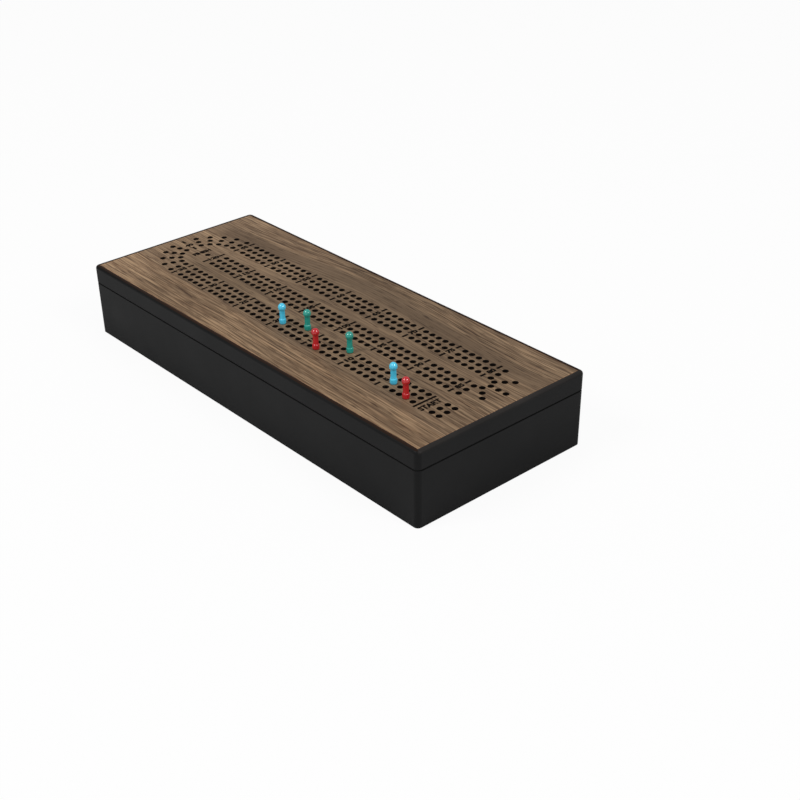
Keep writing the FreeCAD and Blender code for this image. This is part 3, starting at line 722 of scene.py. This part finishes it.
def burnt_finish():
    material, tree, place = new_material("burnt_mark")
    char = noise(tree, place, 1.0, CHAR_STRETCH)
    return surfaced(material, {
        "Base Color": ramp(tree, char, (0.3, CHAR), (0.75, BURNT_WOOD)),
        "Roughness": 0.9, "Specular IOR Level": 0.05})


marks = bmesh.new()


def burn(words, x, y, length, height, weight):
    """Adds words that read along Y, their tops towards -X, in a box of that length and height."""
    text = bpy.data.curves.new("words", "FONT")
    text.body = words
    text.offset = weight
    text.bevel_depth = weight / 2
    text.bevel_resolution = 0
    text.extrude = 0.5
    text.resolution_u = 3
    mesh = meshed("words", text)
    corners = [vert.co for vert in mesh.vertices]
    low, high = (Vector(pick(c[axis] for c in corners) for axis in range(3))
                 for pick in (min, max))
    size = high - low
    fitted = Matrix.Diagonal((length / size.x, height / size.y, MARK_THICKNESS / size.z, 1.0))
    mesh.transform(Matrix.Translation((x, y, mark_middle_z))
                   @ Matrix.Rotation(math.pi / 2, 4, "Z")
                   @ fitted @ Matrix.Translation(-(low + high) / 2))
    marks.from_mesh(mesh)
    bpy.data.meshes.remove(mesh)


def burn_bar(x, y, turn, size):
    """Adds a bar that lies along Y before it is turned."""
    made = bmesh.ops.create_cube(marks, size=1.0)["verts"]
    bmesh.ops.transform(marks, verts=made, matrix=Matrix.Translation((x, y, mark_middle_z))
                        @ Matrix.Rotation(turn, 4, "Z")
                        @ Matrix.Diagonal((*size, MARK_THICKNESS, 1.0)))


def burn_number(value, x, y):
    digits = str(value)
    burn(digits, x, y, LABEL_WIDTHS[len(digits)], NUMBER_HEIGHT, NUMBER_WEIGHT)


last_label = len(LABEL_PLACES) - 1
for label, label_x in enumerate(LABEL_PLACES):
    if label < last_label:
        burn_number(FIRST_COLUMN_END - LABEL_STEP * label, label_x, -COLUMN_SPACING)
    burn_number(THIRD_COLUMN_END - LABEL_STEP * label, label_x, 0.0)
    burn_number(SECOND_COLUMN_START + LABEL_STEP * label, label_x, COLUMN_SPACING)
burn_number(40, LABEL_40_X, 0.0)
burn("START", START_TEXT_X, START_TEXT_Y, *START_TEXT_SIZE, START_WEIGHT)
burn("FINISH", FINISH_TEXT_X, FINISH_TEXT_Y, *FINISH_TEXT_SIZE, FINISH_WEIGHT)

for label, label_x in enumerate(LABEL_PLACES):
    for column in COLUMNS[1:] if label == last_label else COLUMNS:
        for side in (-1, 1):
            burn_bar(label_x, column + side * DASH_FROM_MIDDLE, 0.0, DASH_SIZE)
for side in (-1, 1):
    burn_bar(LABEL_40_X + side * LABEL_40_DASH_FROM_MIDDLE, 0.0, math.pi / 2, DASH_SIZE)
burn_bar(START_LINE_X, START_LINE_Y, 0.0, START_LINE_SIZE)

board_markings = mesh_object("board_markings", mesh_from("board_markings", marks), burnt_finish())
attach(board_markings, "lid")

# --------------------------------------------------------------
# Pegs: two each of red, blue and green, moulded in glossy plastic: a shank, a beaded foot that
# sits on the board, a slim waist and a ball head, with small fillets where the waist joins.
# --------------------------------------------------------------
SHANK_RADIUS = 1.6 * MM
SHANK_LENGTH = 6.0 * MM
SHANK_BREAK = 0.3 * MM
FOOT_RADIUS = 2.0 * MM
FOOT_LOW = 0.1 * MM
FOOT_HIGH = 3.1 * MM
FOOT_REACH, FOOT_STEPS = 78, 12
FOOT_SQUARENESS, FOOT_FULLNESS = 0.85, 0.7
WAIST_RADIUS = 1.55 * MM
HEAD_RADIUS = 2.2 * MM
HEAD_HALF_HEIGHT = 2.4 * MM
HEAD_Z = 9.9 * MM
HEAD_STEPS = 16
FOOT_FILLET = (0.06 * MM, 0.02 * MM, 0.2 * MM)
HEAD_FILLET = (0.05 * MM, 0.05 * MM, 0.25 * MM)
MOTTLING, FLOW_MARKS, FLOW_RELIEF = 420.0, 900.0, 0.05 * MM
PEG_SIDES = 32
PEG_COLOURS = {
    "red": ((0.57, 0.009, 0.018, 1.0), (0.47, 0.006, 0.012, 1.0)),
    "blue": ((0.085, 0.68, 0.95, 1.0), (0.060, 0.57, 0.85, 1.0)),
    "green": ((0.014, 0.37, 0.300, 1.0), (0.010, 0.30, 0.24, 1.0)),
}


def peg_profile():
    """Radius and height of the turned outline, from the tip of the shank to the top."""
    points = [(0.0, -SHANK_LENGTH), (SHANK_RADIUS - SHANK_BREAK, -SHANK_LENGTH),
              (SHANK_RADIUS, -SHANK_LENGTH + SHANK_BREAK), (SHANK_RADIUS, FOOT_LOW)]
    foot_middle, foot_half = (FOOT_LOW + FOOT_HIGH) / 2, (FOOT_HIGH - FOOT_LOW) / 2
    for step in range(FOOT_STEPS + 1):
        angle = math.radians(FOOT_REACH * (2 * step / FOOT_STEPS - 1))
        bulge = math.copysign(abs(math.sin(angle)) ** FOOT_SQUARENESS, angle)
        fullness = math.cos(angle) ** FOOT_FULLNESS
        points.append((SHANK_RADIUS + (FOOT_RADIUS - SHANK_RADIUS) * fullness,
                       foot_middle + foot_half * bulge))
    join = -math.acos(WAIST_RADIUS / HEAD_RADIUS)
    waist_top = HEAD_Z + HEAD_HALF_HEIGHT * math.sin(join)
    foot_wider, foot_near, foot_far = FOOT_FILLET
    head_wider, head_near, head_far = HEAD_FILLET
    points += [(WAIST_RADIUS + foot_wider, FOOT_HIGH + foot_near),
               (WAIST_RADIUS, FOOT_HIGH + foot_far), (WAIST_RADIUS, waist_top - head_far),
               (WAIST_RADIUS + head_wider, waist_top - head_near)]
    for step in range(1, HEAD_STEPS + 1):
        angle = join + (math.pi / 2 - join) * step / HEAD_STEPS
        points.append((HEAD_RADIUS * math.cos(angle),
                       HEAD_Z + HEAD_HALF_HEIGHT * math.sin(angle)))
    return points


def plastic_finish(name, shade, deep):
    """Glossy moulded plastic with a little mottling and faint flow marks."""
    material, tree, place = new_material(name)
    clouds = noise(tree, place, MOTTLING, detail=2.0)
    flow = noise(tree, place, FLOW_MARKS, detail=1.0)
    return surfaced(material, {
        "Base Color": ramp(tree, clouds, (0.3, deep), (0.7, shade)), "Roughness": 0.10,
        "Specular IOR Level": 1.0, "Normal": bumped(tree, flow, 0.06, FLOW_RELIEF)})


for colour_name, (shade, deep) in PEG_COLOURS.items():
    plastic = plastic_finish(f"{colour_name}_plastic", shade, deep)
    for end in ("front", "back"):
        node_name = f"peg_{colour_name}_{end}"
        low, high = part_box(node_name)
        middle = (low + high) / 2
        turned = bmesh.new()
        outline = [turned.verts.new((radius, 0.0, z)) for radius, z in peg_profile()]
        for first, second in zip(outline, outline[1:]):
            turned.edges.new((first, second))
        bmesh.ops.spin(turned, geom=turned.verts[:] + turned.edges[:], cent=(0, 0, 0),
                       axis=(0, 0, 1), angle=2 * math.pi, steps=PEG_SIDES, use_merge=True)
        bmesh.ops.remove_doubles(turned, verts=turned.verts, dist=WELD)
        bmesh.ops.recalc_face_normals(turned, faces=turned.faces)
        bmesh.ops.translate(turned, verts=turned.verts, vec=(middle.x, middle.y, board_high.z))
        peg_mesh = mesh_from(node_name + "_turned", turned)
        peg_mesh.shade_smooth()
        peg = mesh_object(node_name + "_turned", peg_mesh, plastic)
        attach(peg, node_name)
        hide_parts(node_name)

# --------------------------------------------------------------
# Hinges: two pressed brass butt hinges let in flush along the back, the base leaf with the two
# end knuckles and the lid leaf with the middle one, on a plain brass pin.
# --------------------------------------------------------------
BRASS = (0.72, 0.50, 0.20, 1.0)
BRASS_DULL = (0.52, 0.36, 0.15, 1.0)
BRASS_ROUGHNESS = (0.22, 0.40)
BRASS_HAZE = 160.0
BRUSHED_STRETCH, BRUSHED_RELIEF = (300.0, 6000.0, 6000.0), 0.02 * MM
KNUCKLE_RADIUS = 1.25 * MM
KNUCKLE_GAP = 0.3 * MM
KNUCKLE_SIDES = 32
PIN_BORE = 0.65 * MM
LEAF_WIDTH = 5.8 * MM
LEAF_THICKNESS = 0.8 * MM
LEAF_GAP = 0.3 * MM
LEAF_BREAK = 0.08 * MM
SCREW_HOLE_RADIUS = 1.28 * MM
SCREW_HOLE_SIDES = 32
SCREW_FROM_PIN = 3.7 * MM
SCREW_SPREAD = 7.0 * MM


def brass_finish():
    material, tree, place = new_material("hinge_brass")
    haze = noise(tree, place, BRASS_HAZE, detail=4.0)
    scratch = noise(tree, place, 1.0, BRUSHED_STRETCH)
    return surfaced(material, {
        "Base Color": ramp(tree, haze, (0.35, BRASS_DULL), (0.62, BRASS)), "Metallic": 1.0,
        "Roughness": between(tree, scratch, *BRASS_ROUGHNESS),
        "Normal": bumped(tree, scratch, 0.15, BRUSHED_RELIEF)})


brass_material = brass_finish()
finish_with(brass_material, "hinge_pin_left", "hinge_pin_right")


def leaf_outline(length, upward):
    """Corners of a leaf seen from its wide side, the pin along X at y = 0; the lid's leaf keeps
    the middle knuckle and the base's the two end ones."""
    knuckle = (length - 2 * KNUCKLE_GAP) / 3
    rolled = -(KNUCKLE_RADIUS + PIN_BORE) / 2
    notched = -KNUCKLE_RADIUS - KNUCKLE_GAP
    if upward:
        shoulder, end_y, middle_y = knuckle / 2, notched, rolled
    else:
        shoulder, end_y, middle_y = knuckle / 2 + KNUCKLE_GAP, rolled, notched
    right = [(length / 2, -LEAF_WIDTH), (length / 2, end_y), (shoulder, end_y),
             (shoulder, middle_y)]
    return right + [(-x, y) for x, y in reversed(right)]


def screw_hole(x):
    """The ring of a screw's hole in a leaf."""
    turns = [2 * math.pi * step / SCREW_HOLE_SIDES for step in range(SCREW_HOLE_SIDES)]
    return [(x + SCREW_HOLE_RADIUS * math.cos(turn),
             -SCREW_FROM_PIN + SCREW_HOLE_RADIUS * math.sin(turn)) for turn in turns]


def add_knuckle(shape, middle, length):
    """A rolled barrel round the pin, its bore and its slightly broken ends included."""
    half = length / 2
    broken = KNUCKLE_RADIUS - LEAF_BREAK
    section = [(middle - half, PIN_BORE), (middle - half, broken),
               (middle - half + LEAF_BREAK, KNUCKLE_RADIUS),
               (middle + half - LEAF_BREAK, KNUCKLE_RADIUS), (middle + half, broken),
               (middle + half, PIN_BORE)]
    verts = [shape.verts.new((x, radius, 0.0)) for x, radius in section]
    edges = [shape.edges.new((one, other)) for one, other in zip(verts, verts[1:] + verts[:1])]
    bmesh.ops.spin(shape, geom=verts + edges, cent=(0, 0, 0), axis=(1, 0, 0),
                   angle=2 * math.pi, steps=KNUCKLE_SIDES, use_merge=True)


def hinge_leaf(name, middle, length, upward):
    """A pressed leaf: a flat plate with two screw holes, rolled into its knuckles."""
    curve = bpy.data.curves.new(name, "CURVE")
    curve.dimensions = "2D"
    curve.fill_mode = "BOTH"
    curve.offset = -LEAF_BREAK
    curve.bevel_depth = LEAF_BREAK
    curve.bevel_resolution = 0
    curve.extrude = LEAF_THICKNESS / 2 - LEAF_BREAK
    for ring in (leaf_outline(length, upward), screw_hole(-SCREW_SPREAD),
                 screw_hole(SCREW_SPREAD)):
        spline = curve.splines.new("POLY")
        spline.points.add(len(ring) - 1)
        spline.use_cyclic_u = True
        for point, (x, y) in zip(spline.points, ring):
            point.co = (x, y, 0.0, 1.0)
    plate = meshed(name, curve)
    rise = (LEAF_THICKNESS + LEAF_GAP) / 2
    plate.transform(Matrix.Translation((0, 0, rise if upward else -rise)))
    shape = bmesh.new()
    shape.from_mesh(plate)
    bpy.data.meshes.remove(plate)
    knuckle = (length - 2 * KNUCKLE_GAP) / 3
    for place_on_pin in ([0.0] if upward else [-knuckle - KNUCKLE_GAP, knuckle + KNUCKLE_GAP]):
        add_knuckle(shape, place_on_pin, knuckle)
    bmesh.ops.remove_doubles(shape, verts=shape.verts, dist=WELD)
    bmesh.ops.recalc_face_normals(shape, faces=shape.faces)
    bmesh.ops.translate(shape, verts=shape.verts, vec=middle)
    mesh = mesh_from(name, shape)
    mesh.set_sharp_from_angle(angle=math.radians(30))
    return mesh_object(name, mesh, brass_material)


pin_middles = []
for side in ("left", "right"):
    pin_low, pin_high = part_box(f"hinge_pin_{side}")
    pin_middle = (pin_low + pin_high) / 2
    pin_middles.append(pin_middle)
    for body, part in (("box_base", "base"), ("lid", "lid")):
        leaf = hinge_leaf(f"{part}_leaf_{side}", pin_middle, pin_high.x - pin_low.x,
                          upward=part == "lid")
        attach(leaf, body)
        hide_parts(f"hinge_{part}_leaf_{side}")

# --------------------------------------------------------------
# Hinge screws: small countersunk brass screws with a slot, two through each leaf, their heads
# just below the face of the leaf and their slots left at whatever turn they were driven to.
# --------------------------------------------------------------
SCREW_HEAD_DIAMETER = 2.4 * MM
SCREW_HEAD_SIDES = 32
SCREW_NECK_DIAMETER = 1.1 * MM
SCREW_HEAD_DEPTH = 0.7 * MM
SCREW_SLOT_WIDTH = 0.4 * MM
SCREW_SLOT_DEPTH = 0.3 * MM
SCREW_SINK = 0.03 * MM
SCREW_SEED = 5


def screw_tree():
    """A slotted countersunk head, facing up, turned at random, on each point that comes in."""
    tree, given = new_tree("slotted_screws", ["Head Diameter", "Neck Diameter", "Head Depth",
                                              "Slot Width", "Slot Depth", "Screw Material"])
    head = add_node(tree, "GeometryNodeMeshCone",
                    {"Vertices": SCREW_HEAD_SIDES,
                     "Radius Top": product(tree, given["Head Diameter"], 0.5),
                     "Radius Bottom": product(tree, given["Neck Diameter"], 0.5),
                     "Depth": given["Head Depth"]})
    sunk = raised(tree, head.outputs["Mesh"], product(tree, given["Head Depth"], -1.0))
    slot_size = offset(tree, product(tree, given["Head Diameter"], 2.0), given["Slot Width"],
                       product(tree, given["Slot Depth"], 2.0))
    cutter = add_node(tree, "GeometryNodeMeshCube", {"Size": slot_size})
    slotted = add_node(tree, "GeometryNodeMeshBoolean",
                       {"Mesh 1": sunk, "Mesh 2": cutter.outputs["Mesh"]},
                       operation="DIFFERENCE", solver="EXACT")
    turn = add_node(tree, "FunctionNodeRandomValue", {"Max": math.pi, "Seed": SCREW_SEED},
                    data_type="FLOAT")
    placed = add_node(tree, "GeometryNodeInstanceOnPoints",
                      {"Points": given["Geometry"],
                       "Instance": painted(tree, slotted.outputs["Mesh"],
                                           given["Screw Material"]),
                       "Rotation": offset(tree, z=turn.outputs["Value"])})
    end_tree(tree, placed.outputs[0])
    return tree


screw_shape = screw_tree()
for body, part, turn in (("box_base", "base", 0.0), ("lid", "lid", math.pi)):
    spots = [(middle.x + side * SCREW_SPREAD, 0.0, -LEAF_GAP / 2 - SCREW_SINK)
             for middle in pin_middles for side in (-1, 1)]
    screw_mesh = grow(f"{part}_hinge_screws", screw_shape, spots,
                      {"Head Diameter": SCREW_HEAD_DIAMETER, "Neck Diameter": SCREW_NECK_DIAMETER,
                       "Head Depth": SCREW_HEAD_DEPTH, "Slot Width": SCREW_SLOT_WIDTH,
                       "Slot Depth": SCREW_SLOT_DEPTH, "Screw Material": brass_material})
    screw_mesh.transform(Matrix.Translation((0.0, pin_middles[0].y - SCREW_FROM_PIN,
                                             pin_middles[0].z)) @ Matrix.Rotation(turn, 4, "X"))
    screws = mesh_object(f"{part}_hinge_screws", screw_mesh)
    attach(screws, body)

# --------------------------------------------------------------
# Studio: a seamless white sheet, a wide soft lamp on each side of the camera and a pale room.
# The lamps leave two small highlights on each peg and no hard shadow.
# --------------------------------------------------------------
PAPER_WHITE = (0.86, 0.86, 0.86, 1.0)
WHITE = (1.0, 1.0, 1.0, 1.0)
PAPER_GLOW = 0.93
PAPER_HALF_WIDTH = 4.0
ROOM_LIGHT, ROOM_SEEN = 0.42, 1.0
LAMP_SIZE = 0.62
LAMP_POWER = 14.0
LAMP_PLACES = {"lamp_left": (-0.35, -1.25, 1.35), "lamp_right": (1.45, 0.25, 1.35)}

corners = [(x * PAPER_HALF_WIDTH, y * PAPER_HALF_WIDTH, 0.0)
           for x, y in ((-1, -1), (1, -1), (1, 1), (-1, 1))]
floor_mesh = bpy.data.meshes.new("studio_floor")
floor_mesh.from_pydata(corners, [], [(0, 1, 2, 3)])
floor_material, floor_tree, _ = new_material("white_paper")


def either(factor, first, second):
    """A shader between two others."""
    made = add_node(floor_tree, "ShaderNodeMixShader", {"Fac": factor})
    floor_tree.links.new(first.outputs[0], made.inputs[1])
    floor_tree.links.new(second.outputs[0], made.inputs[2])
    return made


paper = add_node(floor_tree, "ShaderNodeBsdfDiffuse", {"Color": PAPER_WHITE})
glow = add_node(floor_tree, "ShaderNodeEmission", {"Color": WHITE, "Strength": 1.0})
rays = add_node(floor_tree, "ShaderNodeLightPath").outputs["Is Camera Ray"]
lit = either(product(floor_tree, rays, PAPER_GLOW), paper, glow)
clear = add_node(floor_tree, "ShaderNodeBsdfTransparent")
under = add_node(floor_tree, "ShaderNodeNewGeometry").outputs["Backfacing"]
show(floor_tree, either(under, lit, clear))
floor = mesh_object("studio_floor", floor_mesh, floor_material)

world = bpy.data.worlds.new("pale_room")
bpy.context.scene.world = world
world.use_nodes = True
room_tree = world.node_tree
room_tree.nodes.clear()
room_rays = add_node(room_tree, "ShaderNodeLightPath").outputs["Is Camera Ray"]
room_light = between(room_tree, room_rays, ROOM_LIGHT, ROOM_SEEN)
room = add_node(room_tree, "ShaderNodeBackground", {"Color": WHITE, "Strength": room_light})
room_output = add_node(room_tree, "ShaderNodeOutputWorld")
room_tree.links.new(room.outputs[0], room_output.inputs["Surface"])

for lamp_name, lamp_place in LAMP_PLACES.items():
    lamp = bpy.data.lights.new(lamp_name, "AREA")
    lamp.size = LAMP_SIZE
    lamp.energy = LAMP_POWER
    holder = bpy.data.objects.new(lamp_name, lamp)
    holder.location = lamp_place
    holder.rotation_euler = (-Vector(lamp_place)).to_track_quat("-Z", "Y").to_euler()
    bpy.context.scene.collection.objects.link(holder)

camera = bpy.data.objects.new("camera", bpy.data.cameras.new("camera"))
bpy.context.scene.collection.objects.link(camera)
camera.location = (0.5464, -0.4260, 0.3885)
camera.rotation_euler = [math.radians(angle) for angle in (56.566, 0.766, 48.539)]
camera.data.sensor_width = 36.0
camera.data.lens = 60.98
camera.data.shift_x = 0.0154
camera.data.shift_y = 0.0993
camera.data.clip_start = 0.01
camera.data.clip_end = 50.0
bpy.context.scene.camera = camera
bpy.context.scene.view_settings.view_transform = "Standard"
